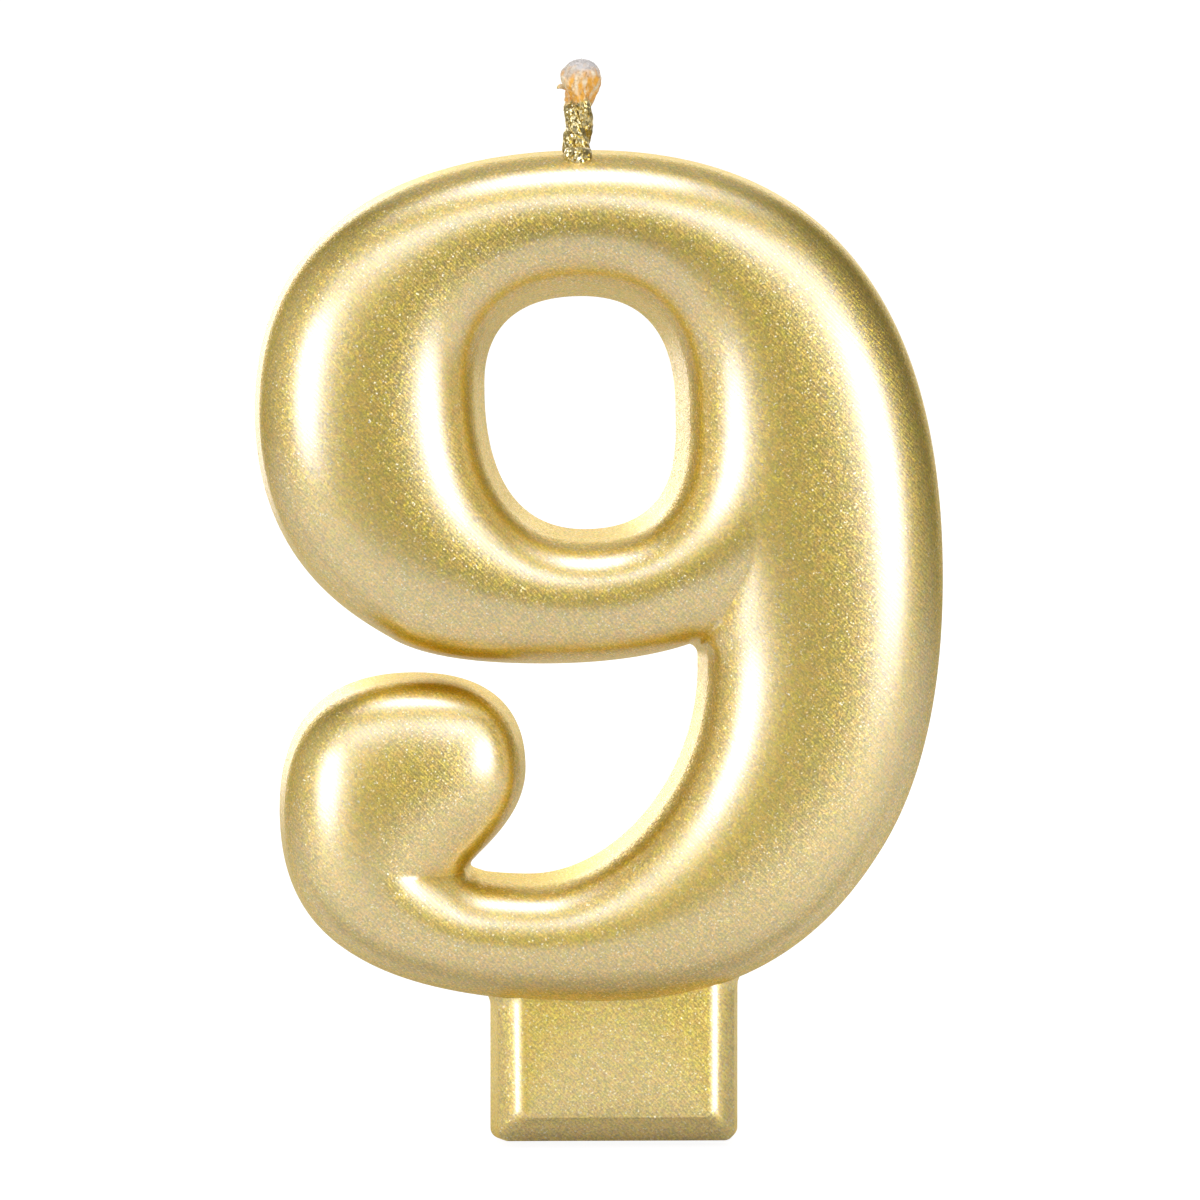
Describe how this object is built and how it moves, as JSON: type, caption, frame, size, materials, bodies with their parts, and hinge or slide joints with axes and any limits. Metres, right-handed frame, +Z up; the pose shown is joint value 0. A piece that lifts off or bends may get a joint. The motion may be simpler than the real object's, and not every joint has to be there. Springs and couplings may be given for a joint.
{
  "type": "number candle",
  "caption": "Free-standing wax candle in the shape of the numeral nine, domed at the front and flat at the back, with a tab to press into a cake and a cotton wick on top.",
  "frame": {"origin": "centre of the flat bottom face of the tab", "axes": "+Z up the numeral to the wick, +X to the right of someone who reads the numeral, +Y towards its flat back, so the domed front faces -Y"},
  "size_m": [0.0574, 0.0113, 0.0903],
  "materials": {
    "gold_wax": "satin",
    "cotton": "matte"
  },
  "bodies": {
    "root": {"wax_numeral": "gold_wax", "wick": "cotton"}
  },
  "joints": []
}
